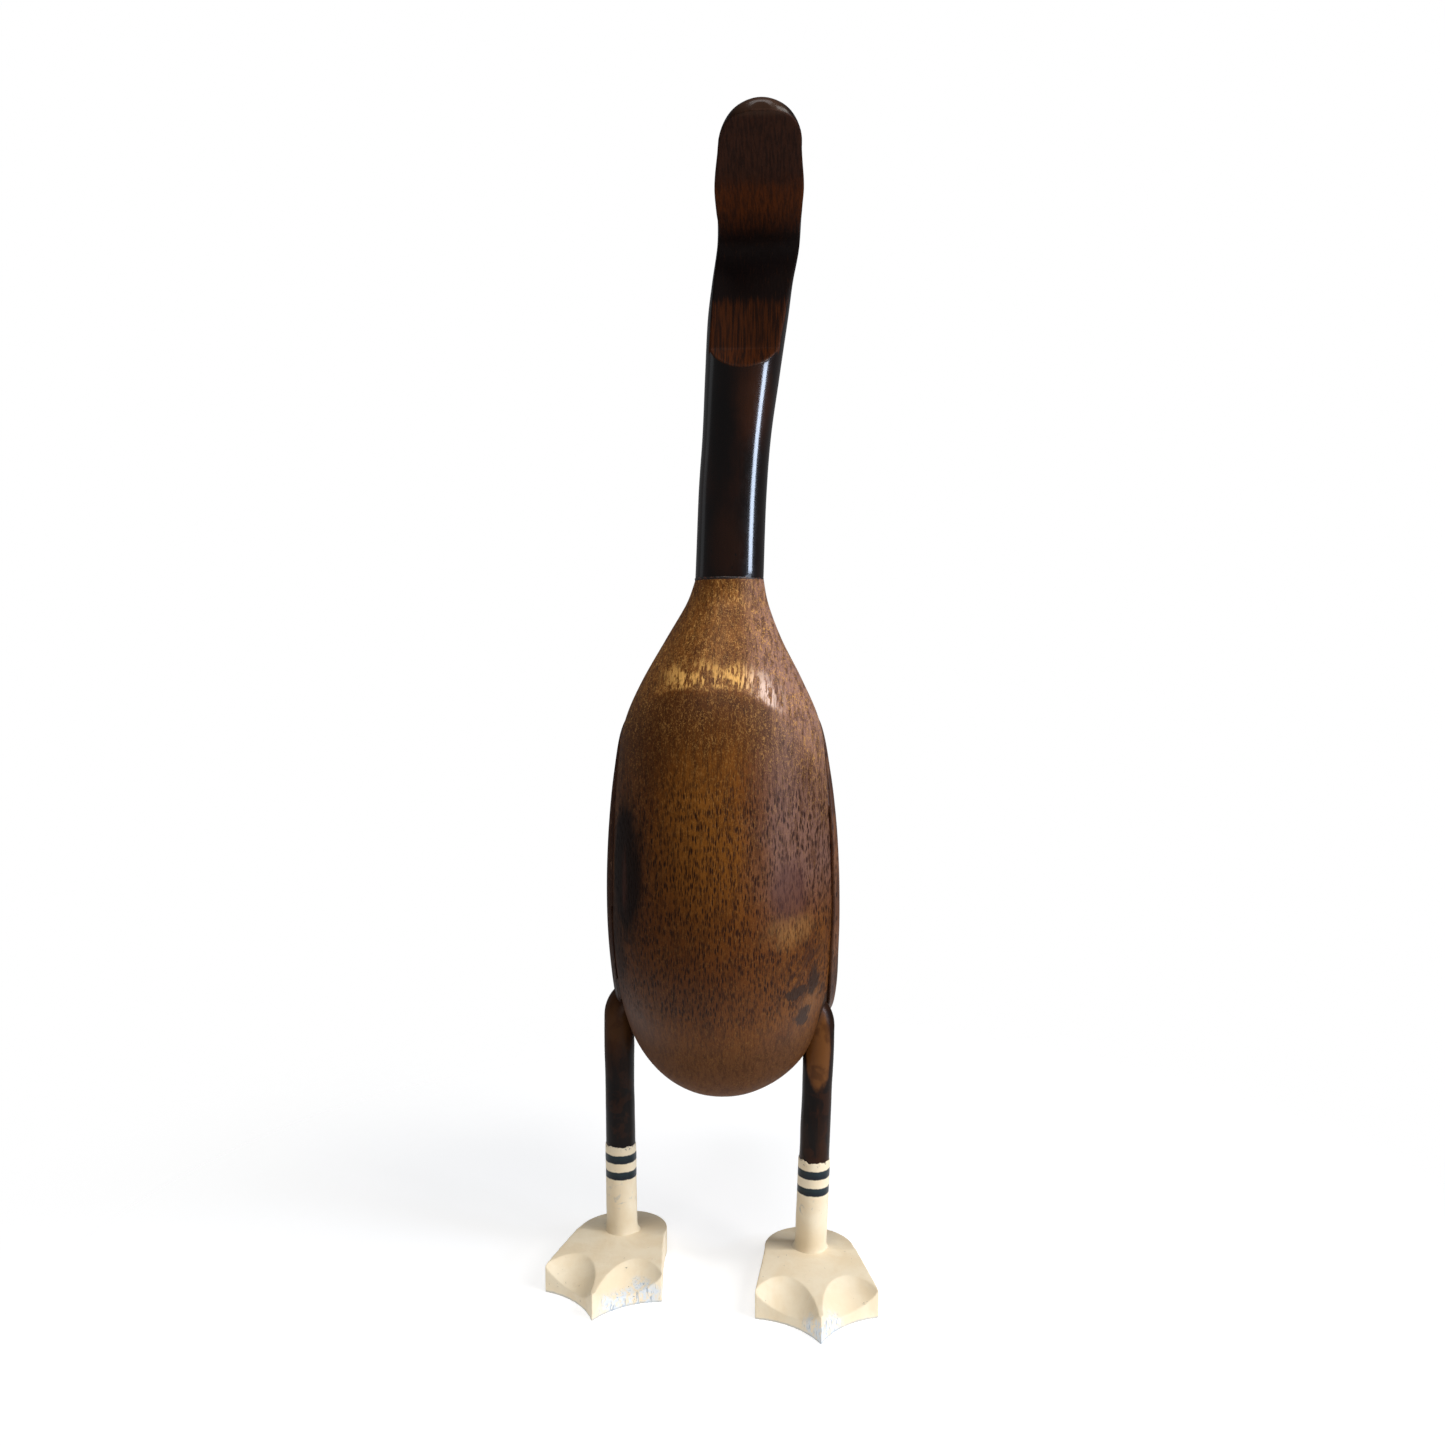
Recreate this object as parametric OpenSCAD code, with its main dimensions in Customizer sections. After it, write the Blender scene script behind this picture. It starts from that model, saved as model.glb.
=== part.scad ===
// Standing wooden duck: a carved body on two root-wood legs with painted webbed feet,
// and a neck and head shaped from one bent bamboo culm. It faces -Y and stands on Z = 0.

/* [Body] */
// Height of the body from the belly to the neck seam
body_h = 233; // [200:1:280]
// Width of the body across the flanks, without the wings
body_w = 100; // [84:1:118]
// Depth of the body from the breast to the end of the tail
body_d = 166; // [140:1:190]
// Height of the belly above the floor
belly_z = 88; // [74:1:106]

/* [Wings] */
// Thickness of a wing, which stands proud of the flank
wing_t = 2.6; // [2:0.1:4]
// Glue line between a wing and the flank
wing_glue = 0.3; // [0.2:0.05:0.5]
// Diameter of a wing peg
wing_peg_d = 4; // [3:0.5:5]
// Length of a wing peg, mostly inside the body
wing_peg_len = 14; // [10:1:18]

/* [Neck and head] */
// Diameter of the bamboo at the neck seam
neck_d = 30; // [26:0.5:34]
// Diameter of the bamboo at the head
head_w = 35; // [31:0.5:40]
// Height of the crown above the neck seam
head_h = 183; // [165:1:215]
// Distance that the bill reaches in front of the neck's centre line
bill_reach = 101; // [85:1:120]
// Thickness of the bill at its tip
bill_tip_t = 5; // [4:0.5:8]
// Distance of the neck seam to the bird's left of the body's middle
neck_shift = 3; // [0:0.5:5]
// Sideways lean of the neck between the seam and the head
neck_lean = 12.5; // [0:0.5:16]
// Turn of the head to the bird's left, in degrees
head_turn = 2; // [0:0.5:8]

/* [Neck dowel] */
// Diameter of the dowel that joins the neck to the body
neck_dowel_d = 12; // [8:1:16]
// Length of the neck dowel, half of it in each piece
neck_dowel_len = 70; // [50:2:90]

/* [Legs] */
// Diameter of a leg
leg_d = 14; // [12:0.5:17]
// Distance of each ankle from the middle of the two
leg_x = 44.5; // [41:0.5:47]
// Distance of the ankles' middle from the body's middle, to the bird's right
leg_shift = 4.5; // [0:0.5:6]
// Distance of the ankles' middle behind the neck's centre line
leg_back = 14; // [4:1:22]
// Distance by which the left foot stands in front of the right one
stride = 12; // [0:1:14]
// Lean of the left leg, in degrees: its hip is farther out than its ankle
left_leg_lean = 2; // [0:0.5:3]
// Lean of the right leg, in degrees
right_leg_lean = 0.5; // [0:0.5:3]
// Height of the arm at the top of a leg, which goes into the flank
hip_z = 129; // [122:1:138]
// Bend radius at the hip, on the leg's centre line
hip_bend_r = 11; // [10:0.5:14]
// Depth of the hip socket, from the leg's centre line inwards
hip_depth = 17; // [15:1:22]
// Diameter of a hip dowel
hip_dowel_d = 6; // [4:0.5:8]
// Length of a hip dowel
hip_dowel_len = 26; // [18:1:30]

/* [Feet] */
// Distance from the ankle to the middle toe's tip
toe_len = 56; // [45:1:66]
// Distance from the ankle to the heel's end
heel_len = 32; // [26:1:38]
// Width across the outer toes
foot_w = 54; // [46:1:64]
// Thickness of a foot at the ankle
foot_t = 14; // [12:0.5:18]
// Thickness of a foot at the heel's end
heel_t = 7; // [5:0.5:10]
// Turn of the left foot outwards, in degrees
left_toe_out = 4; // [0:1:10]
// Turn of the right foot outwards, in degrees
right_toe_out = 6; // [0:1:12]
// Radius of the gouge that hollows the webs
web_r = 16.5; // [13:0.5:22]
// Thickness left under the leg's socket in a foot
socket_floor = 6; // [5:0.5:8]

/* [Fasteners and fits] */
// Diameter of a foot screw's shank
screw_d = 4; // [3:0.5:5]
// Length of a foot screw
screw_len = 32; // [24:1:40]
// Diameter of a foot screw's countersunk head
screw_head_d = 8; // [7:0.5:10]
// Depth of the screw head below the sole
screw_recess = 0.5; // [0.2:0.1:1.5]
// Radial gap left for glue round dowels, pegs and legs
glue_gap = 0.1; // [0.05:0.05:0.2]

/* [Hidden] */
$fn = 48;

SIDES = [1, -1];                 // the bird's left is +X
seam_z = belly_z + body_h;
crown_z = seam_z + head_h;
neck_r = neck_d / 2;
over = 1;                        // how far a cutter runs past the face it opens

wood = [0.45, 0.26, 0.12];
dark_wood = [0.40, 0.22, 0.12];
bamboo = [0.16, 0.09, 0.06];
pale_wood = [0.75, 0.60, 0.40];
cream = [0.91, 0.86, 0.74];
steel = [0.70, 0.70, 0.72];

// ---------- smooth curves through a few points ----------

// A point at t on the Catmull-Rom span from p[i] to p[i + 1].
function span_point(p, i, t) =
    let (a = p[max(i - 1, 0)], b = p[i], c = p[i + 1], d = p[min(i + 2, len(p) - 1)])
    b + t / 2 * (c - a + t * (2 * a - 5 * b + 4 * c - d + t * (3 * (b - c) + d - a)));

// The point at s, counted in spans from the first point.
function curve_at(p, s) =
    let (i = min(floor(s), len(p) - 2))
    span_point(p, i, s - i);

// n points for each span, with both ends.
function smooth(p, n) = [for (k = [0 : (len(p) - 1) * n]) curve_at(p, k / n)];

function reversed(list) = [for (i = [len(list) - 1 : -1 : 0]) list[i]];

// ---------- lofts: sections given by a front point, a back point and a half width ----------
// A section is [front y, front z, back y, back z, half width, centre x].

function ring_point(s, angle, grow = 0) =
    let (
        front = [s[0], s[1]], back = [s[2], s[3]],
        centre = (front + back) / 2,
        half = (front - back) / 2,
        reach = norm(half),
        along = centre + half * cos(angle) * (reach + grow) / reach
    )
    [s[5] + (s[4] + grow) * sin(angle), along[0], along[1]];

function ring(s, sides) = [for (k = [0 : sides - 1]) ring_point(s, 360 * k / sides)];

// The sections are listed upwards, or downwards with turned = true.
module loft(sections, sides, turned = false) {
    last = len(sections) - 1;
    points = [for (s = sections) each ring(s, sides)];
    walls = [
        for (j = [0 : last - 1], k = [0 : sides - 1])
            let (a = j * sides + k, b = j * sides + (k + 1) % sides)
            each [[a, a + sides, b], [b, a + sides, b + sides]]
    ];
    first_cap = [for (k = [0 : sides - 1]) k];
    last_cap = [for (k = [sides - 1 : -1 : 0]) last * sides + k];
    faces = concat(walls, [first_cap, last_cap]);
    polyhedron(points, turned ? [for (f = faces) reversed(f)] : faces, convexity = 6);
}

// ---------- body ----------
// Front and back points as shares of the depth and of the height above the belly, then the
// half width as a share. The collar above them follows the neck's own diameter.
body_outline = [
    [-0.168, 0.890, 0.150, 0.885, 0.505],
    [-0.240, 0.818, 0.196, 0.800, 0.705],
    [-0.290, 0.745, 0.245, 0.712, 0.860],
    [-0.316, 0.640, 0.300, 0.634, 0.925],
    [-0.332, 0.520, 0.352, 0.568, 0.965],
    [-0.337, 0.390, 0.402, 0.508, 0.990],
    [-0.318, 0.260, 0.448, 0.458, 1.000],
    [-0.253, 0.138, 0.490, 0.424, 1.000],
    [-0.140, 0.044, 0.526, 0.398, 1.000],
    [ 0.005, 0.000, 0.556, 0.376, 0.975],
    [ 0.165, 0.014, 0.584, 0.354, 0.890],
    [ 0.310, 0.070, 0.610, 0.332, 0.740],
    [ 0.450, 0.148, 0.634, 0.312, 0.530],
    [ 0.570, 0.220, 0.654, 0.290, 0.270]
];
collar_h = 11;                   // the body keeps close to the neck's diameter for this height
collar_flare = 3;
body_sections = concat(
    [
        [-neck_r, seam_z, neck_r, seam_z, neck_r, neck_shift],
        [
            -neck_r - collar_flare, seam_z - collar_h, neck_r + collar_flare, seam_z - collar_h,
            neck_r + collar_flare, neck_shift * 0.7
        ]
    ],
    [
        for (i = [0 : len(body_outline) - 1])
            let (s = body_outline[i])
            [
                s[0] * body_d, belly_z + s[1] * body_h,
                s[2] * body_d, belly_z + s[3] * body_h,
                s[4] * body_w / 2, i == 0 ? neck_shift * 0.2 : 0
            ]
    ]
);
body_rings = 3;                  // rings for each span
body_sides = 48;

module body() {
    placed() color(wood) difference() {
        loft(smooth(body_sections, body_rings), body_sides, turned = true);
        neck_dowel_bore();
        for (side = SIDES) {
            leg_solid(side, glue_gap);
            hip_dowel_solid(side, glue_gap);
            wing_peg_solids(side, glue_gap);
        }
    }
}

// ---------- wings ----------
// The wing's two edges on the body's skin, from the shoulder to the tip:
// [section, angle round the section from the breast].
wing_front_edge = [
    [3.9, 92], [4.5, 82], [5.9, 79], [7.6, 77], [9.0, 73],
    [10.2, 71], [11.6, 75], [13.0, 87], [14.4, 104]
];
wing_back_edge = [
    [3.9, 95], [4.4, 106], [5.6, 119], [7.2, 127], [8.6, 131],
    [10.1, 132], [11.6, 129], [13.1, 121], [14.4, 110]
];
wing_pegs_at = [[6.6, 96], [9.6, 103]];
wing_steps = 3;                  // steps for each span of an edge
wing_across = 8;

function skin(side, at, grow) =
    let (p = ring_point(curve_at(body_sections, at[0]), at[1], grow))
    [side * p[0], p[1], p[2]];

// Height of the wing's face over the glue line: full inside, half at the rounded rim.
function wing_height(u, v) =
    let (rim = min(1, 9 * min(u, 1 - u, 0.25), 7 * min(v, 1 - v)))
    wing_t * (0.45 + 0.55 * sqrt(rim * (2 - rim)));

module wing(side) {
    front = smooth(wing_front_edge, wing_steps);
    back = smooth(wing_back_edge, wing_steps);
    last = len(front) - 1;
    wide = wing_across + 1;
    at = [
        for (j = [0 : last], k = [0 : wing_across])
            front[j] + (back[j] - front[j]) * k / wing_across
    ];
    under = [for (p = at) skin(side, p, wing_glue)];
    face = [
        for (j = [0 : last], k = [0 : wing_across])
            skin(side, at[j * wide + k], wing_glue + wing_height(j / last, k / wing_across))
    ];
    count = len(at);
    sheets = [
        for (j = [0 : last - 1], k = [0 : wing_across - 1])
            let (a = j * wide + k, b = a + 1, c = a + wide, d = c + 1)
            each [
                [count + a, count + c, count + b], [count + b, count + c, count + d],
                [a, b, c], [b, d, c]
            ]
    ];
    rim = concat(
        [for (k = [0 : wing_across - 1]) k],
        [for (j = [0 : last - 1]) j * wide + wing_across],
        [for (k = [wing_across : -1 : 1]) last * wide + k],
        [for (j = [last : -1 : 1]) j * wide]
    );
    edge = [
        for (i = [0 : len(rim) - 1])
            let (a = rim[i], b = rim[(i + 1) % len(rim)])
            each [[a, count + a, b], [b, count + a, count + b]]
    ];
    faces = concat(sheets, edge);
    polyhedron(
        concat(under, face),
        side > 0 ? [for (f = faces) reversed(f)] : faces,
        convexity = 6
    );
}

module wing_piece(side) {
    placed() color(dark_wood) difference() {
        wing(side);
        wing_peg_solids(side, glue_gap);
        leg_solid(side, wing_glue);
    }
}

module left_wing() wing_piece(1);

module right_wing() wing_piece(-1);

wing_peg_bite = 1.5;             // how far a peg goes into the wing

// The pegs lie square to the bird's middle plane.
module wing_peg_solids(side, gap) {
    for (at = wing_pegs_at) {
        p = skin(side, at, wing_glue + wing_peg_bite);
        inner = (wing_peg_len + gap) * side;
        translate([p[0] - inner / 2 + gap * side / 2, p[1], p[2]])
            rotate([0, 90, 0])
                cylinder(d = wing_peg_d + 2 * gap, h = wing_peg_len + 2 * gap, center = true, $fn = 24);
    }
}

module wing_pegs() {
    placed() color(pale_wood) for (side = SIDES) wing_peg_solids(side, 0);
}

// ---------- neck and head ----------
// Heights are counted from the crown downwards or from the seam upwards, and the culm
// keeps its full round section until the bill is cut.
head_r = head_w / 2;
throat_y = -head_r + 9.5;        // the flat cut on the throat
throat_z = crown_z - 95;         // where the throat cut begins
chin_z = crown_z - 44;           // where the throat turns into the bill's underside
chin_r = 12;
tip_under_z = crown_z - 26;      // underside of the bill at its tip
under_slope = atan2(tip_under_z - chin_z, bill_reach + throat_y);

// Height of the bill's flat underside at y.
function under_z(y) = chin_z + (throat_y - y) * tan(under_slope);

// Distance back from the bill's tip, thickness beyond the tip's own, and the half width as
// a share of the head's.
bill_outline = [
    [25, 7.5, 0.9], [16, 5, 0.865], [9, 3.2, 0.77], [4, 1.9, 0.63], [1, 0.2, 0.4], [-0.5, -2.6, 0.15]
];

// Sideways place of a section: the neck leans more as it rises, then the head turns.
function lean_at(y, z) =
    let (
        ahead = max(0, -head_r - y),
        rise = max(0, min(1, (z - seam_z) / (head_h - 43) + ahead / 80))
    )
    neck_shift + neck_lean * pow(rise, 1.6) + ahead * tan(head_turn);

// The head's and the bill's sections have their widest line near the cut underside, so that
// the underside is as wide as the head and the top is domed.
culm_sections = [
    for (s = concat(
        [
            [-neck_r, seam_z, neck_r, seam_z, neck_r],
            [-neck_r, seam_z + 0.20 * head_h, neck_r, seam_z + 0.20 * head_h, neck_r],
            [-neck_r, crown_z - 0.66 * head_h, neck_r, crown_z - 0.65 * head_h, neck_r],
            [-head_r + 1.2, crown_z - 0.53 * head_h, head_r - 1.2, crown_z - 0.51 * head_h, head_r - 1.2],
            [-head_r, crown_z - 0.42 * head_h, head_r, crown_z - 0.36 * head_h, head_r],
            [-head_r - 3.5, crown_z - 68, head_r - 0.5, crown_z - 43, head_r],
            [-head_r - 10.5, crown_z - 64, head_r - 5, crown_z - 20, head_r],
            [-head_r - 20.5, crown_z - 59, head_r - 17, crown_z - 5, head_r],
            [-head_r - 32.5, crown_z - 64, head_r - 36, crown_z, head_r],
            [-head_r - 42.5, crown_z - 62, head_r - 57, crown_z - 5, head_r],
            [-head_r - 50.5, crown_z - 56, head_r - 77, crown_z - 12, head_r - 0.7]
        ],
        [
            for (b = bill_outline)
                let (y = b[0] - bill_reach, t = bill_tip_t + b[1])
                [y, under_z(y) - t, y, under_z(y) + t, b[2] * head_r]
        ]
    ))
        concat(s, [lean_at(s[0], s[1])])
];

// The side view of what is carved away below the bill and in front of the throat.
module under_cut_outline() {
    reach = 2 * bill_reach;
    arc_z = chin_z - chin_r * (1 - sin(under_slope)) / cos(under_slope);
    polygon(concat(
        [[-head_r - 3, throat_z - 3], [throat_y, throat_z + 10]],
        [
            for (a = [0 : 5 : 90 - under_slope])
                [throat_y - chin_r + chin_r * cos(a), arc_z + chin_r * sin(a)]
        ],
        [
            [throat_y - reach, under_z(throat_y - reach)],
            [throat_y - reach, throat_z - 40], [-head_r - 3, throat_z - 40]
        ]
    ));
}

// Runs a side view, drawn in Y and Z, across the head.
module across_head() {
    rotate([90, 0, 90]) linear_extrude(height = 4 * head_w, center = true) children();
}

module neck_and_head() {
    placed() color(bamboo) difference() {
        loft(smooth(culm_sections, 4), 40);
        across_head() under_cut_outline();
        neck_dowel_bore();
    }
}

// ---------- neck dowel ----------

module neck_dowel_bore() {
    translate([neck_shift, 0, seam_z])
        cylinder(d = neck_dowel_d + 2 * glue_gap, h = neck_dowel_len + 2, center = true);
}

module neck_dowel() {
    placed() color(pale_wood) translate([neck_shift, 0, seam_z])
        cylinder(d = neck_dowel_d, h = neck_dowel_len, center = true);
}

// ---------- legs ----------

function ankle(side) = [side * leg_x - leg_shift, leg_back - side * stride / 2, 0];

// Draws in a leg's own frame: origin on the floor under the ankle, the leg along Z, and
// the bird's middle towards -X.
module at_leg(side) {
    lean = side > 0 ? left_leg_lean : right_leg_lean;
    translate(ankle(side)) mirror([side > 0 ? 0 : 1, 0, 0]) rotate([0, lean, 0]) children();
}

// A round stick: upright shank, bend and an arm that runs inwards into the flank.
module leg_solid(side, gap) {
    r = leg_d / 2 + gap;
    arm = hip_depth - hip_bend_r + gap;
    at_leg(side) {
        translate([0, 0, socket_floor - gap])
            cylinder(r = r, h = hip_z - hip_bend_r - socket_floor + gap);
        translate([-hip_bend_r, 0, hip_z - hip_bend_r])
            rotate([90, 0, 0])
                rotate_extrude(angle = 90) translate([hip_bend_r, 0]) circle(r = r);
        translate([-hip_bend_r, 0, hip_z])
            rotate([0, -90, 0]) cylinder(r = r, h = arm);
    }
}

// The dowel lies in the arm's axis, half of it in the arm and half in the body.
module hip_dowel_solid(side, gap) {
    at_leg(side) translate([-hip_depth, 0, hip_z])
        rotate([0, 90, 0])
            cylinder(d = hip_dowel_d + 2 * gap, h = hip_dowel_len + 2 * gap, center = true);
}

module leg(side) {
    placed() color(dark_wood) difference() {
        leg_solid(side, 0);
        hip_dowel_solid(side, glue_gap);
        foot_screw(side, glue_gap);
    }
}

module left_leg() leg(1);

module right_leg() leg(-1);

module left_hip_dowel() {
    placed() color(pale_wood) hip_dowel_solid(1, 0);
}

module right_hip_dowel() {
    placed() color(pale_wood) hip_dowel_solid(-1, 0);
}

// ---------- feet ----------
ankle_w = 0.77 * foot_w;         // width of the foot beside the ankle
corner_y = -0.65 * toe_len;      // the outer toes end this far in front of the ankle
web_sag = 4;                     // hollow of the front edge between two toes

// Points along a shallow arc from a to b that bows to the right of the way.
function bowed(a, b, sag, n) = [
    for (k = [1 : n])
        let (t = k / n, side = [b[1] - a[1], a[0] - b[0]] / norm(b - a))
        a + (b - a) * t + side * sag * 4 * t * (1 - t)
];

foot_corner = [foot_w / 2, corner_y];
foot_half = concat(
    bowed([0, -toe_len], foot_corner, -web_sag, 8),
    [[ankle_w / 2 + 1, -8]],
    [for (a = [0 : 10 : 80]) [ankle_w / 2 * cos(a), heel_len * sin(a)]]
);
foot_outline = concat(
    [[0, -toe_len]],
    foot_half,
    [[0, heel_len]],
    [for (k = [len(foot_half) - 1 : -1 : 0]) [-foot_half[k][0], foot_half[k][1]]]
);

web_slope = 29;                  // fall of a web's hollow towards the front, in degrees
web_start = -0.45 * toe_len;     // where the hollow leaves the top of the foot
web_splay = 7;
web_skim = 0.6;                  // the gouge stays this far below the top at its start
toe_fall = 3;                    // fall of the top towards the toes, in degrees

module foot(side) {
    turn = side > 0 ? left_toe_out : -right_toe_out;
    heel_slope = atan2(foot_t - heel_t, heel_len + 4);
    placed() color(cream) difference() {
        translate(ankle(side)) rotate([0, 0, turn]) difference() {
            linear_extrude(height = foot_t) polygon(foot_outline);
            // the heel falls away behind the ankle
            translate([-foot_w, -4, foot_t]) rotate([-heel_slope, 0, 0])
                cube([2 * foot_w, 2 * heel_len, foot_t]);
            // the top falls a little towards the toes
            translate([-foot_w, -12, foot_t]) rotate([toe_fall, 0, 0])
                translate([0, -2 * toe_len, 0]) cube([2 * foot_w, 2 * toe_len, foot_t]);
            for (web = SIDES)
                translate([web * foot_w / 4, web_start, foot_t - web_skim])
                    rotate([0, 0, web * web_splay]) rotate([web_slope, 0, 0])
                        translate([0, foot_t, web_r]) rotate([90, 0, 0])
                            cylinder(r = web_r, h = 2 * toe_len, $fn = 64);
        }
        leg_solid(side, glue_gap);
        foot_screw(side, glue_gap);
    }
}

module left_foot() foot(1);

module right_foot() foot(-1);

// ---------- foot screws ----------

// A countersunk wood screw, driven up through the sole into the leg.
module foot_screw(side, gap) {
    head_h = (screw_head_d - screw_d) / 2;
    at_leg(side) {
        if (gap > 0)
            translate([0, 0, -over])
                cylinder(d = screw_head_d + 2 * gap, h = screw_recess + over + 0.01, $fn = 32);
        translate([0, 0, screw_recess])
            cylinder(d1 = screw_head_d + 2 * gap, d2 = screw_d + 2 * gap, h = head_h, $fn = 32);
        translate([0, 0, screw_recess])
            cylinder(d = screw_d + 2 * gap, h = screw_len - screw_d, $fn = 32);
        translate([0, 0, screw_recess + screw_len - screw_d])
            cylinder(d1 = screw_d + 2 * gap, d2 = 0.5 + 2 * gap, h = screw_d + gap, $fn = 32);
    }
}

module foot_screws() {
    placed() color(steel) for (side = SIDES) foot_screw(side, 0);
}

// ---------- origin ----------

// How far a foot's outer corner reaches sideways from the ankle.
function corner_reach(turn) = foot_corner[0] * cos(turn) - foot_corner[1] * sin(turn);

x_max = ankle(1)[0] + corner_reach(left_toe_out);
x_min = ankle(-1)[0] - corner_reach(right_toe_out);
y_max = body_sections[len(body_sections) - 1][2];
y_min = culm_sections[len(culm_sections) - 1][0];

// Sets a piece down so that the origin is under the middle of the whole bird.
module placed() {
    translate([-(x_min + x_max) / 2, -(y_min + y_max) / 2, 0]) children();
}

// ---------- what is drawn ----------
body();
left_wing();
right_wing();
wing_pegs();
neck_and_head();
neck_dowel();
left_leg();
right_leg();
left_hip_dowel();
right_hip_dowel();
left_foot();
right_foot();
foot_screws();
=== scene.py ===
"""Looks of a standing wooden duck: carved body and wings, bent culm neck, painted feet."""
import math

import bmesh
import bpy
from mathutils import Matrix, Vector, noise


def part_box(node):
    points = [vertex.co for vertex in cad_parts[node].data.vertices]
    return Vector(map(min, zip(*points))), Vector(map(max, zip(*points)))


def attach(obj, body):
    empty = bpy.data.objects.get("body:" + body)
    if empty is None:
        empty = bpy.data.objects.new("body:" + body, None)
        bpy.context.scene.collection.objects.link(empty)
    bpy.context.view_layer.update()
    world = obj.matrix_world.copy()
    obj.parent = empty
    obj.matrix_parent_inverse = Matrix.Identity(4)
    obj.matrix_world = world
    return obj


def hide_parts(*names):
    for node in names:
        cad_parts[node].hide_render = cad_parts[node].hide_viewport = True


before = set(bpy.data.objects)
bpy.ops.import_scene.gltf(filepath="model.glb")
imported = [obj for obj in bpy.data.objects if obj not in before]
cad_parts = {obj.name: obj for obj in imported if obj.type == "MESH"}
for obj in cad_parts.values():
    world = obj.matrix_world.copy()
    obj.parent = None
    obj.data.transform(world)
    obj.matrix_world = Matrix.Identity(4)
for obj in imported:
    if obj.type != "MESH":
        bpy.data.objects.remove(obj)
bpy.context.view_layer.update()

MM = 0.001


# ---------------------------------------------------------------- places from the frame

def low(node):
    """Lowest corner of a CAD node, in millimetres."""
    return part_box(node)[0] / MM


def high(node):
    """Highest corner of a CAD node, in millimetres."""
    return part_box(node)[1] / MM


SEAM_Z = high("body").z
BELLY_Z = 88
CROWN_Z = high("neck_and_head").z
HEAD_H = CROWN_Z - SEAM_Z
MIDDLE_X = (high("left_wing").x + low("right_wing").x) / 2
MIDDLE_Y = (high("neck_dowel").y + low("neck_dowel").y) / 2
HOME = Vector((MIDDLE_X, MIDDLE_Y, 0))      # the bird's own middle, on the floor

# Sizes of the carving in millimetres, the same as in the part's own source.
BODY_H = SEAM_Z - BELLY_Z
BODY_W = 100
BODY_D = 166
NECK_R = 15
NECK_SHIFT = 3
NECK_LEAN = 12.5
HEAD_R = 17.5
HEAD_TURN = math.radians(2)
BILL_REACH = 101
BILL_TIP_T = 5
LEG_R = 7
WING_T = 2.6
WING_GLUE = 0.3
TAIL_SPARE = 0.05       # the rippled tail stays this far inside the CAD box
BILL_SPARE = 0.2        # and so does the rippled bill


# ---------------------------------------------------------------- drawing with sections

def span_point(p, i, t):
    """A point at t on the smooth span from p[i] to p[i + 1]."""
    a = p[max(i - 1, 0)]
    b = p[i]
    c = p[i + 1]
    d = p[min(i + 2, len(p) - 1)]
    return [
        y + t / 2 * (z - x + t * (2 * x - 5 * y + 4 * z - w + t * (3 * (y - z) + w - x)))
        for x, y, z, w in zip(a, b, c, d)
    ]


def curve_at(p, s):
    """The point at s, counted in spans from the first point."""
    i = min(int(s), len(p) - 2)
    return span_point(p, i, s - i)


def smooth(p, n):
    """n points for each span, with both ends."""
    return [curve_at(p, k / n) for k in range((len(p) - 1) * n + 1)]


def ring_point(section, angle, grow=0.0):
    """A point round a section: front y, front z, back y, back z, half width, centre x."""
    front = Vector((section[0], section[1]))
    back = Vector((section[2], section[3]))
    centre = (front + back) / 2
    half = (front - back) / 2
    along = centre + half * math.cos(angle) * (half.length + grow) / half.length
    return Vector((section[5] + (section[4] + grow) * math.sin(angle), along.x, along.y))


def new_piece(name, bm, replaced=()):
    """Turns a finished bmesh, in millimetres, into a piece that rides with the bird."""
    bmesh.ops.recalc_face_normals(bm, faces=bm.faces)
    bmesh.ops.transform(bm, matrix=Matrix.Scale(MM, 4), verts=bm.verts)
    for face in bm.faces:
        face.smooth = True
    mesh = bpy.data.meshes.new(name)
    bm.to_mesh(mesh)
    bm.free()
    piece = bpy.data.objects.new(name, mesh)
    bpy.context.scene.collection.objects.link(piece)
    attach(piece, "root")
    if replaced:
        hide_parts(*replaced)
    return piece


def pull_rings(rings, sides):
    """A tube pulled ring by ring. rings are functions of the share of a turn."""
    bm = bmesh.new()
    turn = bm.verts.layers.int.new("turn")
    verts = bmesh.ops.create_circle(bm, segments=sides, radius=1)["verts"]
    for k, vert in enumerate(verts):
        vert[turn] = k
        vert.co = rings[0](k / sides)
    edges = list(bm.edges)
    first = list(edges)
    for ring in rings[1:]:
        grown = bmesh.ops.extrude_edge_only(bm, edges=edges)["geom"]
        fresh = {v for v in grown if isinstance(v, bmesh.types.BMVert)}
        for vert in fresh:
            vert.co = ring(vert[turn] / sides)
        edges = [
            e for e in grown
            if isinstance(e, bmesh.types.BMEdge) and all(v in fresh for v in e.verts)
        ]
    bmesh.ops.holes_fill(bm, edges=first + edges, sides=0)
    return bm


def ripple(bm, size, height, stretch=1.0):
    """The slight unevenness that a knife and sandpaper leave."""
    bmesh.ops.recalc_face_normals(bm, faces=bm.faces)
    bm.normal_update()
    for vert in bm.verts:
        p = vert.co
        place = Vector((p.x, p.y, p.z / stretch)) / size
        vert.co = p + vert.normal * height * noise.noise(place)


def settle(piece):
    """Makes a piece's modifiers part of its mesh."""
    graph = bpy.context.evaluated_depsgraph_get()
    mesh = bpy.data.meshes.new_from_object(piece.evaluated_get(graph))
    piece.modifiers.clear()
    piece.data = mesh
    for face in mesh.polygons:
        face.use_smooth = True


def even_skin(piece, cell, passes):
    """Redraws a piece's skin in even cells, with its edges softly broken."""
    remesh = piece.modifiers.new("even skin", "REMESH")
    remesh.mode = "VOXEL"
    remesh.voxel_size = cell * MM
    remesh.adaptivity = 0
    remesh.use_smooth_shade = True
    soften = piece.modifiers.new("broken edges", "SMOOTH")
    soften.factor = 0.5
    soften.iterations = passes
    settle(piece)


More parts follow.
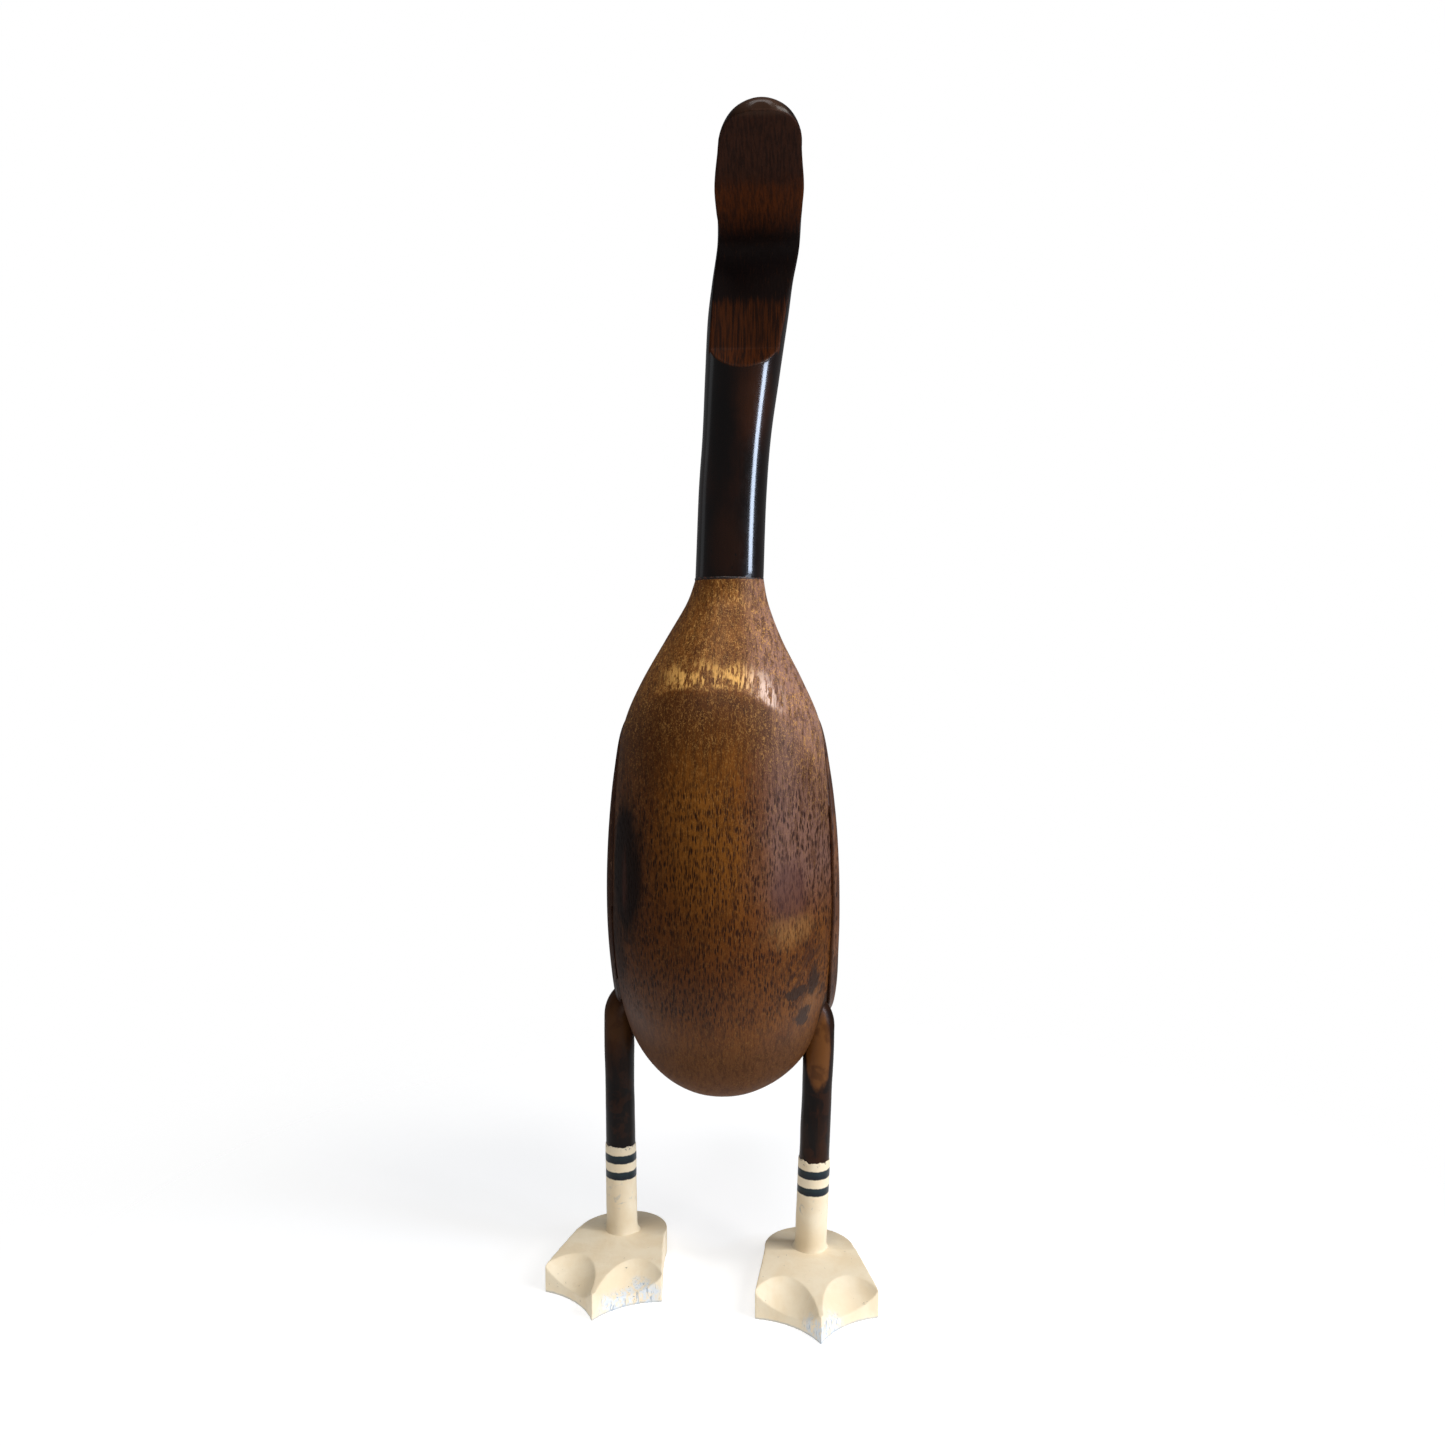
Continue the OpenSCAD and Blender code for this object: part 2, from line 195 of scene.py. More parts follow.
# ---------------------------------------------------------------- body

# Front and back points as shares of the depth and of the height above the belly, then the
# half width as a share.
BODY_OUTLINE = [
    (-0.168, 0.890, 0.150, 0.885, 0.505),
    (-0.240, 0.818, 0.196, 0.800, 0.705),
    (-0.290, 0.745, 0.245, 0.712, 0.860),
    (-0.316, 0.640, 0.300, 0.634, 0.925),
    (-0.332, 0.520, 0.352, 0.568, 0.965),
    (-0.337, 0.390, 0.402, 0.508, 0.990),
    (-0.318, 0.260, 0.448, 0.458, 1.000),
    (-0.253, 0.138, 0.490, 0.424, 1.000),
    (-0.140, 0.044, 0.526, 0.398, 1.000),
    (0.005, 0.000, 0.556, 0.376, 0.975),
    (0.165, 0.014, 0.584, 0.354, 0.890),
    (0.310, 0.070, 0.610, 0.332, 0.740),
    (0.450, 0.148, 0.634, 0.312, 0.530),
    (0.570, 0.220, 0.654, 0.290, 0.270),
]
COLLAR_H = 11
COLLAR_FLARE = 3
BODY_SECTIONS = [
    (-NECK_R, SEAM_Z, NECK_R, SEAM_Z, NECK_R, NECK_SHIFT),
    (
        -NECK_R - COLLAR_FLARE, SEAM_Z - COLLAR_H, NECK_R + COLLAR_FLARE, SEAM_Z - COLLAR_H,
        NECK_R + COLLAR_FLARE, 0.7 * NECK_SHIFT,
    ),
]
for index, share in enumerate(BODY_OUTLINE):
    BODY_SECTIONS.append((
        share[0] * BODY_D, BELLY_Z + share[1] * BODY_H,
        share[2] * BODY_D, BELLY_Z + share[3] * BODY_H,
        share[4] * BODY_W / 2, 0.2 * NECK_SHIFT if index == 0 else 0,
    ))


def section_ring(section, grow=0.0):
    return lambda share: HOME + ring_point(section, 2 * math.pi * share, grow)


def shoulder_edge(x):
    """Height of the edge across the breast where the shoulders begin."""
    return 274 - 0.02 * max(0.0, x - 3) ** 2 - 0.012 * max(0.0, -x - 12) ** 2


def carve_body():
    sections = smooth(BODY_SECTIONS, 9)
    rings = [section_ring(s) for s in sections]
    lip = list(sections[0])
    lip[4] -= 0.5
    lip[0] += 0.5
    lip[2] -= 0.5
    rings.insert(0, section_ring(lip))
    for shrink, push in ((0.86, 0.6), (0.55, 1.2), (0.2, 1.5)):
        end = list(sections[-1])
        mid_y = (end[0] + end[2]) / 2
        mid_z = (end[1] + end[3]) / 2
        rings.append(section_ring((
            mid_y + (end[0] - mid_y) * shrink + push, mid_z + (end[1] - mid_z) * shrink,
            mid_y + (end[2] - mid_y) * shrink + push, mid_z + (end[3] - mid_z) * shrink,
            end[4] * shrink, 0,
        )))
    bm = pull_rings(rings, 128)
    ripple(bm, 42, 0.7, 1.5)
    ripple(bm, 13, 0.12, 1.6)
    tail_y = high("body").y - TAIL_SPARE
    for vert in bm.verts:
        p = vert.co - HOME
        if p.y < 0 and 240 < p.z < 300:
            away = abs(p.z - shoulder_edge(p.x))
            facing = max(0.0, min(1.0, (-p.y - 22) / 18))
            vert.co.y -= 0.7 * facing * math.exp(-away / 4)
        vert.co.y = min(vert.co.y, tail_y)
    return new_piece("carved_body", bm, ["body"])


# ---------------------------------------------------------------- wings

# [section, degrees round the section from the breast]
WING_FRONT = [
    (3.9, 92), (4.5, 82), (5.9, 79), (7.6, 77), (9.0, 73),
    (10.2, 71), (11.6, 75), (13.0, 87), (14.4, 104),
]
WING_BACK = [
    (3.9, 95), (4.4, 106), (5.6, 119), (7.2, 127), (8.6, 131),
    (10.1, 132), (11.6, 129), (13.1, 121), (14.4, 110),
]


TOP_LENGTH = 0.36        # share of the wing's length over which its top thins out
TOP_THIN = 0.14          # share of the full thickness that is left at the very top


def ease(t):
    """Crowds steps towards both ends, so that a rim is drawn finely."""
    return 0.5 - 0.5 * math.cos(math.pi * t)


def wing_place(side, u, v, height):
    front = curve_at(WING_FRONT, u * (len(WING_FRONT) - 1))
    back = curve_at(WING_BACK, u * (len(WING_BACK) - 1))
    section = front[0] + (back[0] - front[0]) * v
    angle = math.radians(front[1] + (back[1] - front[1]) * v)
    p = ring_point(curve_at(BODY_SECTIONS, section), angle, height)
    return HOME + Vector((side * p.x, p.y, p.z))


def wing_height(u, v):
    """Height of the wing's face over the glue: full inside, rolled over at the rim."""
    rim = min(1.0, 14 * min(u, 1 - u), 11 * min(v, 1 - v))
    feather = min(1.0, u / TOP_LENGTH)
    full = WING_T * (TOP_THIN + (1 - TOP_THIN) * feather * feather * (3 - 2 * feather))
    return full * (0.35 + 0.65 * math.sqrt(max(0.0, rim * (2 - rim))))


def carve_wing(side):
    bm = bmesh.new()
    bmesh.ops.create_grid(bm, x_segments=150, y_segments=60, size=1)
    for vert in bm.verts:
        u = ease((vert.co.x + 1) / 2)
        v = ease((vert.co.y + 1) / 2)
        vert.co = Vector((u, v, 0))
    under = list(bm.faces)
    face = bmesh.ops.extrude_face_region(bm, geom=under, use_keep_orig=True)["geom"]
    top = {v for v in face if isinstance(v, bmesh.types.BMVert)}
    for vert in bm.verts:
        u, v = vert.co.x, vert.co.y
        height = WING_GLUE + (wing_height(u, v) if vert in top else -0.5)
        vert.co = wing_place(side, u, v, height)
    bmesh.ops.remove_doubles(bm, verts=bm.verts, dist=0.001)
    ripple(bm, 30, 0.25, 1.4)
    name = "left" if side > 0 else "right"
    return new_piece(name + "_carved_wing", bm, [name + "_wing"])


# ---------------------------------------------------------------- neck and head

THROAT_Y = -HEAD_R + 9.5
THROAT_Z = CROWN_Z - 95
CHIN_Z = CROWN_Z - 44
CHIN_R = 12
LEDGE_H = 13       # rise of the cut from the neck's skin to its full depth
TIP_UNDER_Z = CROWN_Z - 26
UNDER_SLOPE = math.atan2(TIP_UNDER_Z - CHIN_Z, BILL_REACH + THROAT_Y)
ARC_Z = CHIN_Z - CHIN_R * (1 - math.sin(UNDER_SLOPE)) / math.cos(UNDER_SLOPE)

# Distance back from the tip, thickness beyond the tip's own, share of the head's half width.
BILL_OUTLINE = [
    (25, 7.5, 0.90), (16, 5, 0.865), (9, 3.2, 0.77), (4, 1.9, 0.63), (1, 0.2, 0.40),
    (-0.5, -2.6, 0.15),
]


def under_z(y):
    """Height of the bill's flat underside at y."""
    return CHIN_Z + (THROAT_Y - y) * math.tan(UNDER_SLOPE)


def lean_at(y, z):
    ahead = max(0.0, -HEAD_R - y)
    rise = max(0.0, min(1.0, (z - SEAM_Z) / (HEAD_H - 43) + ahead / 80))
    return NECK_SHIFT + NECK_LEAN * rise ** 1.6 + ahead * math.tan(HEAD_TURN)


CULM_OUTLINE = [
    (-NECK_R, SEAM_Z, NECK_R, SEAM_Z, NECK_R),
    (-NECK_R, SEAM_Z + 0.20 * HEAD_H, NECK_R, SEAM_Z + 0.20 * HEAD_H, NECK_R),
    (-NECK_R, CROWN_Z - 0.66 * HEAD_H, NECK_R, CROWN_Z - 0.65 * HEAD_H, NECK_R),
    (
        -HEAD_R + 1.2, CROWN_Z - 0.53 * HEAD_H, HEAD_R - 1.2, CROWN_Z - 0.51 * HEAD_H,
        HEAD_R - 1.2,
    ),
    (-HEAD_R, CROWN_Z - 0.42 * HEAD_H, HEAD_R, CROWN_Z - 0.36 * HEAD_H, HEAD_R),
    (-HEAD_R - 3.5, CROWN_Z - 68, HEAD_R - 0.5, CROWN_Z - 43, HEAD_R),
    (-HEAD_R - 10.5, CROWN_Z - 64, HEAD_R - 5, CROWN_Z - 20, HEAD_R),
    (-HEAD_R - 20.5, CROWN_Z - 59, HEAD_R - 17, CROWN_Z - 5, HEAD_R),
    (-HEAD_R - 32.5, CROWN_Z - 64, HEAD_R - 36, CROWN_Z, HEAD_R),
    (-HEAD_R - 42.5, CROWN_Z - 62, HEAD_R - 57, CROWN_Z - 5, HEAD_R),
    (-HEAD_R - 50.5, CROWN_Z - 56, HEAD_R - 77, CROWN_Z - 12, HEAD_R - 0.7),
]
for back, extra, share in BILL_OUTLINE:
    y = back - BILL_REACH
    thick = BILL_TIP_T + extra
    CULM_OUTLINE.append((y, under_z(y) - thick, y, under_z(y) + thick, share * HEAD_R))
CULM_SECTIONS = [(*s, lean_at(s[0], s[1])) for s in CULM_OUTLINE]


def knife_cut():
    """What is carved away below the bill and in front of the throat."""
    far = THROAT_Y - 2 * BILL_REACH
    outline = [(-HEAD_R - 3, THROAT_Z - 3), (THROAT_Y, THROAT_Z + LEDGE_H - 3)]
    steps = 16
    for k in range(steps + 1):
        a = k / steps * (math.pi / 2 - UNDER_SLOPE)
        outline.append((
            THROAT_Y - CHIN_R + CHIN_R * math.cos(a), ARC_Z + CHIN_R * math.sin(a),
        ))
    outline += [(far, under_z(far)), (far, THROAT_Z - 40), (-HEAD_R - 3, THROAT_Z - 40)]
    bm = bmesh.new()
    verts = [bm.verts.new(HOME + Vector((-80, y, z))) for y, z in outline]
    side = bm.faces.new(verts)
    grown = bmesh.ops.extrude_face_region(bm, geom=[side])["geom"]
    moved = [v for v in grown if isinstance(v, bmesh.types.BMVert)]
    bmesh.ops.translate(bm, vec=(180, 0, 0), verts=moved)
    return bm


def carve_neck_and_head():
    sections = smooth(CULM_SECTIONS, 9)
    lip = list(sections[0])
    lip[4] -= 0.4
    lip[0] += 0.4
    lip[2] -= 0.4
    rings = [section_ring(lip)] + [section_ring(s) for s in sections]
    bm = pull_rings(rings, 112)
    ripple(bm, 26, 0.5, 2.5)
    tip_y = low("neck_and_head").y + BILL_SPARE
    for vert in bm.verts:
        vert.co.y = max(vert.co.y, tip_y)
    piece = new_piece("carved_neck_and_head", bm, ["neck_and_head"])
    cutter = new_piece("knife_cut", knife_cut())
    cut = piece.modifiers.new("cut", "BOOLEAN")
    cut.operation = "DIFFERENCE"
    cut.solver = "EXACT"
    cut.object = cutter
    even_skin(piece, 0.62, 2)
    bpy.data.objects.remove(cutter)
    return piece


def glue_bead():
    """The dark line of glue squeezed out where the neck meets the body."""
    centre = HOME + Vector((NECK_SHIFT, 0, SEAM_Z))
    rings = []
    for drop, proud in ((0.7, -0.6), (0.5, 0.06), (0.15, 0.2), (-0.25, 0.22), (-0.6, 0.05), (-0.8, -0.6)):
        def ring(share, drop=drop, proud=proud):
            a = 2 * math.pi * share
            lump = 0.14 * noise.noise(Vector((9 * math.cos(a), 9 * math.sin(a), drop)))
            r = NECK_R + proud + lump
            z = -drop + 0.12 * noise.noise(Vector((5 * math.cos(a), 5 * math.sin(a), 7)))
            return centre + Vector((r * math.sin(a), -r * math.cos(a), z))
        rings.append(ring)
    return new_piece("neck_glue_line", pull_rings(rings, 160))


# ---------------------------------------------------------------- legs and socks

LEG_X = 44.5
LEG_SHIFT = 4.5
LEG_BACK = 14
STRIDE = 12
LEAN = {1: math.radians(2), -1: math.radians(0.5)}
HIP_Z = 129
HIP_BEND_R = 11
ARM = 6
SOLE_DEEP = 6


def ankle(side):
    return Vector((side * LEG_X - LEG_SHIFT, LEG_BACK - side * STRIDE / 2, 0))


def leg_frame(side):
    """From a leg's own frame, where the middle of the bird is towards -X."""
    flip = Matrix.Diagonal((side, 1, 1, 1))
    return Matrix.Translation(HOME + ankle(side)) @ flip @ Matrix.Rotation(LEAN[side], 4, "Y")


def carve_leg(side):
    path = []
    for k in range(60):
        path.append((0.0, SOLE_DEEP + (HIP_Z - HIP_BEND_R - SOLE_DEEP) * k / 60, 0.0))
    for k in range(24):
        a = math.pi / 2 * k / 23
        path.append((
            -HIP_BEND_R + HIP_BEND_R * math.cos(a),
            HIP_Z - HIP_BEND_R + HIP_BEND_R * math.sin(a), a,
        ))
    path.append((-HIP_BEND_R - ARM, HIP_Z, math.pi / 2))
    place = leg_frame(side)
    rings = []
    for x, z, turn in path:
        def ring(share, x=x, z=z, turn=turn):
            a = 2 * math.pi * share
            uneven = 0.22 * noise.noise(Vector((x, z, 3 * side)) / 19)
            dent = 0.16 * noise.noise(Vector((math.cos(a), math.sin(a), z / 11 + 40 * side)))
            r = LEG_R - 0.08 + uneven + dent
            out = r * math.cos(a)
            return place @ Vector((
                x + out * math.cos(turn), r * math.sin(a), z + out * math.sin(turn),
            ))
        rings.append(ring)
    name = "left" if side > 0 else "right"
    return new_piece(name + "_stick_leg", pull_rings(rings, 72), [name + "_leg"])


SOCK_STEPS = [
    (12.0, 2.2), (13.2, 1.5), (14.2, 0.85), (15.4, 0.48), (17.5, 0.32), (21.0, 0.3),
    (28.0, 0.3), (36.0, 0.3), (44.0, 0.3), (50.0, 0.3), (54.0, 0.3), (55.2, 0.28), (55.8, 0.2),
    (56.0, 0.05), (56.0, -0.6),
]


def paint_sock(side):
    """The coat of paint on the lower leg, with a ragged upper edge."""
    place = leg_frame(side)
    rings = []
    for z, coat in SOCK_STEPS:
        def ring(share, z=z, coat=coat):
            a = 2 * math.pi * share
            rag = 0.95 * noise.noise(Vector((2.6 * math.cos(a), 2.6 * math.sin(a), 5 * side)))
            rag += 0.45 * noise.noise(Vector((9 * math.cos(a), 9 * math.sin(a), 5 * side)))
            lift = rag * max(0.0, (z - 50) / 6)
            dent = 0.16 * noise.noise(Vector((math.cos(a), math.sin(a), z / 11 + 40 * side)))
            r = LEG_R + coat + dent
            return place @ Vector((r * math.cos(a), r * math.sin(a), z + lift))
        rings.append(ring)
    name = "left" if side > 0 else "right"
    return new_piece(name + "_painted_sock", pull_rings(rings, 120))


# ---------------------------------------------------------------- feet

def carve_foot(side):
    """The foot's own solid, with its knife edges softly broken."""
    name = "left" if side > 0 else "right"
    bm = bmesh.new()
    bm.from_mesh(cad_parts[name + "_foot"].data)
    bmesh.ops.transform(bm, matrix=Matrix.Scale(1 / MM, 4), verts=bm.verts)
    bmesh.ops.remove_doubles(bm, verts=bm.verts, dist=0.001)
    piece = new_piece(name + "_carved_foot", bm, [name + "_foot"])
    even_skin(piece, 0.42, 2)
    return piece


# ---------------------------------------------------------------- finishes

class Signal:
    """A number that varies over a surface. Sums and products of it add Math nodes."""

    def __init__(self, finish, socket):
        self.finish = finish
        self.socket = socket

    def maths(self, operation, *values, clamp=False):
        return self.finish.maths(operation, self, *values, clamp=clamp)

    def __add__(self, other):
        return self.maths("ADD", other)

    __radd__ = __add__

    def __mul__(self, other):
        return self.maths("MULTIPLY", other)

    __rmul__ = __mul__

    def __sub__(self, other):
        return self.maths("SUBTRACT", other)

    def __rsub__(self, other):
        return self.finish.maths("SUBTRACT", other, self)

    def __truediv__(self, other):
        return self.maths("DIVIDE", other)

    def __pow__(self, other):
        return self.maths("POWER", other)

    def clamped(self):
        return self.maths("ADD", 0.0, clamp=True)

    def larger(self, other):
        return self.maths("MAXIMUM", other)

    def size(self):
        return self.maths("ABSOLUTE")

    def rise(self, start, end):
        """0 at start, 1 at end, eased at both; start may be the larger."""
        node = self.finish.make(
            "ShaderNodeMapRange", {"interpolation_type": "SMOOTHSTEP"},
            {"Value": self, "From Min": start, "From Max": end},
        )
        return Signal(self.finish, node.outputs["Result"])


class Finish:
    """A material, measured in millimetres on the piece's own coordinates."""

    def __init__(self, name, **constants):
        self.material = bpy.data.materials.new(name)
        self.material.use_nodes = True
        self.tree = self.material.node_tree
        self.tree.nodes.clear()
        self.shader = self.make("ShaderNodeBsdfPrincipled", {}, constants)
        self.make("ShaderNodeOutputMaterial", {}, {"Surface": self.shader.outputs["BSDF"]})
        object_place = self.make("ShaderNodeTexCoord").outputs["Object"]
        scaled = self.make(
            "ShaderNodeVectorMath", {"operation": "SCALE"}, {0: object_place, "Scale": 1 / MM},
        )
        self.place = scaled.outputs["Vector"]
        apart = self.make("ShaderNodeSeparateXYZ", {}, {0: self.place})
        self.x, self.y, self.z = (Signal(self, apart.outputs[k]) for k in range(3))

    def make(self, kind, settings=None, inputs=None):
        node = self.tree.nodes.new(kind)
        for key, value in (settings or {}).items():
            setattr(node, key, value)
        for key, value in (inputs or {}).items():
            socket = node.inputs[key]
            if isinstance(value, Signal):
                value = value.socket
            if isinstance(value, bpy.types.NodeSocket):
                self.tree.links.new(value, socket)
            elif isinstance(value, tuple) and len(value) == 3 and socket.type == "RGBA":
                socket.default_value = (*value, 1)
            else:
                socket.default_value = value
        return node

    def maths(self, operation, *values, clamp=False):
        settings = {"operation": operation, "use_clamp": clamp}
        node = self.make("ShaderNodeMath", settings, dict(enumerate(values)))
        return Signal(self, node.outputs[0])

    def vector(self, operation, a, b):
        node = self.make("ShaderNodeVectorMath", {"operation": operation}, {0: a, 1: b})
        return node.outputs["Value" if operation == "LENGTH" else "Vector"]

    def pattern_place(self, stretch, shift, tilt):
        """Coordinates drawn out along the grain, which tilt turns towards the bird's left."""
        node = self.make("ShaderNodeMapping", {"vector_type": "TEXTURE"}, {
            "Vector": self.place, "Location": shift, "Rotation": (0, tilt, 0), "Scale": stretch,
        })
        return node.outputs["Vector"]

    def noise(
        self, size, stretch=(1, 1, 1), detail=3.0, rough=0.55, twist=0.0, shift=(0, 0, 0),
        tilt=0.0,
    ):
        node = self.make("ShaderNodeTexNoise", {}, {
            "Vector": self.pattern_place(stretch, shift, tilt), "Scale": 1 / size,
            "Detail": detail, "Roughness": rough, "Distortion": twist,
        })
        return Signal(self, node.outputs[0])

    def cells(self, size, stretch=(1, 1, 1), shift=(0, 0, 0), tilt=0.0):
        """Distance from scattered points, as a share of their spacing."""
        place = self.pattern_place(stretch, shift, tilt)
        node = self.make("ShaderNodeTexVoronoi", {}, {"Vector": place, "Scale": 1 / size})
        return Signal(self, node.outputs["Distance"])

    def dashes(self, size, length, reach, shift, tilt=0.0):
        """Short strokes along the grain, such as open pores."""
        near = self.cells(size, (1, 5, length), shift, tilt)
        return near.rise(reach, reach * 0.45)

    def spot(self, centre, radii, soft=0.3, ragged=0.0, grain=8.0):
        """1 inside a soft ellipsoid about a place on the bird, 0 outside."""
        offset = self.vector("SUBTRACT", self.place, tuple(HOME + Vector(centre)))
        offset = self.vector("DIVIDE", offset, radii)
        length = self.make("ShaderNodeVectorMath", {"operation": "LENGTH"}, {0: offset})
        away = Signal(self, length.outputs["Value"])
        if ragged:
            uneven = self.noise(grain, (1, 1, 2), 4, 0.6, 0.4, centre)
            away = away + (uneven - 0.5) * ragged
        return away.rise(1 + soft, 1 - soft)

    def blend(self, share, first, second, how="MIX"):
        node = self.make("ShaderNodeMix", {"data_type": "RGBA", "blend_type": how})
        ends = {"Factor_Float": share, "A_Color": first, "B_Color": second}
        for socket in node.inputs:
            if socket.identifier in ends:
                value = ends[socket.identifier]
                if isinstance(value, Signal):
                    value = value.socket
                if isinstance(value, bpy.types.NodeSocket):
                    self.tree.links.new(value, socket)
                elif isinstance(value, tuple):
                    socket.default_value = (*value, 1)
                else:
                    socket.default_value = value
        return next(s for s in node.outputs if s.identifier == "Result_Color")

    def link(self, name, value):
        if isinstance(value, Signal):
            value = value.socket
        self.tree.links.new(value, self.shader.inputs[name])

    def done(self, colour, roughness, height=None):
        """height is a Signal in millimetres."""
        self.link("Base Color", colour)
        self.link("Roughness", roughness)
        if height is not None:
            settings = {"Height": height, "Strength": 1.0, "Distance": MM}
            bump = self.make("ShaderNodeBump", {}, settings)
            self.link("Normal", bump.outputs["Normal"])
        return self.material


def body_finish():
    f = Finish("waxed_root_wood", **{"Coat Roughness": 0.42, "Specular IOR Level": 0.07})
    x = f.x - HOME.x
    y = f.y - HOME.y
    z = f.z
    comb = f.noise(1.15, (1, 5, 7), 3, 0.6, 0.4, (4, 1, 2))
    edge = 274 - 0.02 * (x - 3).larger(0.0) ** 2 - 0.012 * (-12 - x).larger(0.0) ** 2
    over = z - edge + (f.noise(7, (1, 1, 1), 3) - 0.5) * 3.5

    inner = x.rise(27, 19) * x.rise(-31, -23)
    tone = f.noise(34, (1, 1, 1.8), 4, 0.55, 0.6)
    streak = f.noise(1.3, (1, 4, 9), 4, 0.62, 0.25)
    fine = f.noise(0.62, (1, 3, 5), 3, 0.6, 0.4, (2, 5, 7))
    fleck = f.noise(0.75, (1, 2, 2.6), 3, 0.62, 1.4, (31, 7, 3))
    fleck_b = f.noise(0.95, (1, 2, 1.5), 3, 0.62, 2.2, (11, 3, 13))
    cloud = f.noise(13, (1, 1, 1), 3, 0.5, 0.8, (5, 17, 9))

    colour = f.blend(tone.rise(0.36, 0.66), (0.125, 0.035, 0.0045), (0.212, 0.067, 0.0070))
    # painted light: a brighter patch on the front of the breast
    painted_light_patch = f.spot((-5, -56, 216), (17, 16, 34), 0.8, 0.7, 16)
    colour = f.blend(painted_light_patch * 0.5, colour, (0.245, 0.088, 0.010))
    # painted shade: the left of the breast is darker, on the side away from the key light
    painted_shade_left = x.rise(-8, -40) * z.rise(286, 262)
    colour = f.blend(painted_shade_left * 0.68, colour, (0.070, 0.018, 0.003))
    low = z.rise(196, 160)
    colour = f.blend(low * 0.35, colour, (0.080, 0.021, 0.004))
    # painted sheen: a grey-lavender reflection of the side window on the right flank
    painted_side_sheen = (x + (cloud - 0.5) * 14).rise(8, 34) * (1 - y.rise(10, 60)) * z.rise(170, 205)
    colour = f.blend(painted_side_sheen * 0.70, colour, (0.182, 0.098, 0.080))
    shade = over.rise(1.5, -4) * over.rise(-36, -10)
    colour = f.blend(shade * (0.30 + 0.48 * inner), colour, (0.078, 0.024, 0.0045))
    cone = over.rise(-1.5, 1.5) * inner + over.rise(-15, 13) * (1 - inner)
    gold = f.blend(cloud.rise(0.35, 0.65), (0.160, 0.053, 0.009), (0.255, 0.094, 0.018))
    colour = f.blend(cone * 0.9, colour, gold)
    # painted sheen: the right part of the cone above the crease turns grey-lavender
    colour = f.blend(cone * x.rise(6, 22) * 0.62, colour, (0.35, 0.205, 0.175))
    belly = z.rise(134, 114)
    colour = f.blend(belly * 0.7, colour, (0.086, 0.033, 0.011))

    colour = f.blend(streak.rise(0.46, 0.62) * 0.60, colour, (0.050, 0.0135, 0.0022))
    colour = f.blend(fine.rise(0.51, 0.64) * 0.50, colour, (0.040, 0.011, 0.002))

    glow = 0.10 + 0.58 * cone + 0.24 * shade + 0.12 * z.rise(195, 240)
    glint = fleck.rise(0.555, 0.625) * (0.45 + 0.55 * cloud.rise(0.38, 0.58))
    glint = glint.larger(fleck_b.rise(0.57, 0.64) * 0.85)
    colour = f.blend((glint * glow).clamped(), colour, (0.62, 0.31, 0.085))
    over_comb = over + (comb - 0.5) * 9
    crest = over_comb.rise(-0.5, 1.0) * over_comb.rise(14, 5)
    crest = crest * x.rise(-28, -14) * x.rise(30, 20) * f.noise(6, (1, 1, 1), 2).rise(0.34, 0.50)
    # golden crest flecks of the wood; towards the right they turn grey-lavender, which is painted sheen
    straw_and_painted_sheen = f.blend(x.rise(8, 20), (0.82, 0.44, 0.120), (0.80, 0.57, 0.46))
    colour = f.blend(crest * comb.rise(0.54, 0.47) * 0.92, colour, straw_and_painted_sheen)
    colour = f.blend(crest * comb.rise(0.54, 0.64) * 0.5, colour, (0.090, 0.030, 0.007))

    where = f.noise(12, (1, 1, 1.6), 3, 0.5, 0, (9, 2, 6)).rise(0.28, 0.48)
    pores = f.dashes(1.15, 4.4, 0.36, (0, 0, 0))
    pores = pores.larger(f.dashes(1.05, 5.0, 0.34, (4.3, 9, 2.7)) * 0.9)
    pores = pores.larger(f.dashes(0.95, 5.4, 0.33, (2.1, 5, 1.2)) * 0.8)
    pores = pores.larger(f.dashes(1.10, 4.6, 0.32, (7.7, 3, 5.9)) * 0.7)
    low_front = z.rise(250, 222) * z.rise(126, 142)
    strength = low_front * (0.62 + 0.38 * where) + z.rise(222, 250) * 0.22
    pores = pores * strength
    colour = f.blend(pores * 0.96, colour, (0.016, 0.0032, 0.0010))
    hair = f.noise(0.5, (1, 3, 9), 2, 0.6, 3.2, (8, 1, 4)).rise(0.66, 0.72) * low_front
    colour = f.blend(hair * 0.45, colour, (0.36, 0.19, 0.06))

    burn = f.spot((-47, -34, 197), (18, 20, 31), 0.24, 0.8, 10)
    burn = burn.larger(f.spot((-47, -18, 165), (8, 15, 24), 0.35, 0.8, 10) * 0.7)
    burn = burn.larger(f.spot((40, 62, 205), (16, 22, 26), 0.3, 1.0, 16) * 0.9)
    burn = burn.larger(f.spot((-18, 92, 180), (18, 16, 20), 0.3, 1.0, 14) * 0.8)
    colour = f.blend(burn * 0.95, colour, (0.009, 0.0035, 0.0022))
    ember = f.spot((-41.5, -31, 192), (2.6, 3, 13), 0.6, 1.4, 3)
    colour = f.blend(ember * 0.5, colour, (0.090, 0.030, 0.017))
    plum = f.spot((32, -45, 191), (10, 10, 13), 0.5, 0.8, 8)
    colour = f.blend(plum * 0.62, colour, (0.080, 0.030, 0.024))
    halo = f.spot((33, -42, 174), (12, 12, 6), 0.8, 1.4, 6)
    colour = f.blend(halo * (0.15 + 0.45 * fine.rise(0.58, 0.46)), colour, (0.30, 0.140, 0.042))
    sweep = f.noise(1.6, (1, 4, 12), 3, 0.6, 0.5, (3, 1, 5), math.radians(42))
    hip = f.spot((38, -30, 151), (13, 17, 17), 0.5, 0.6, 9)
    colour = f.blend(hip * sweep.rise(0.44, 0.62) * 0.75, colour, (0.045, 0.015, 0.006))
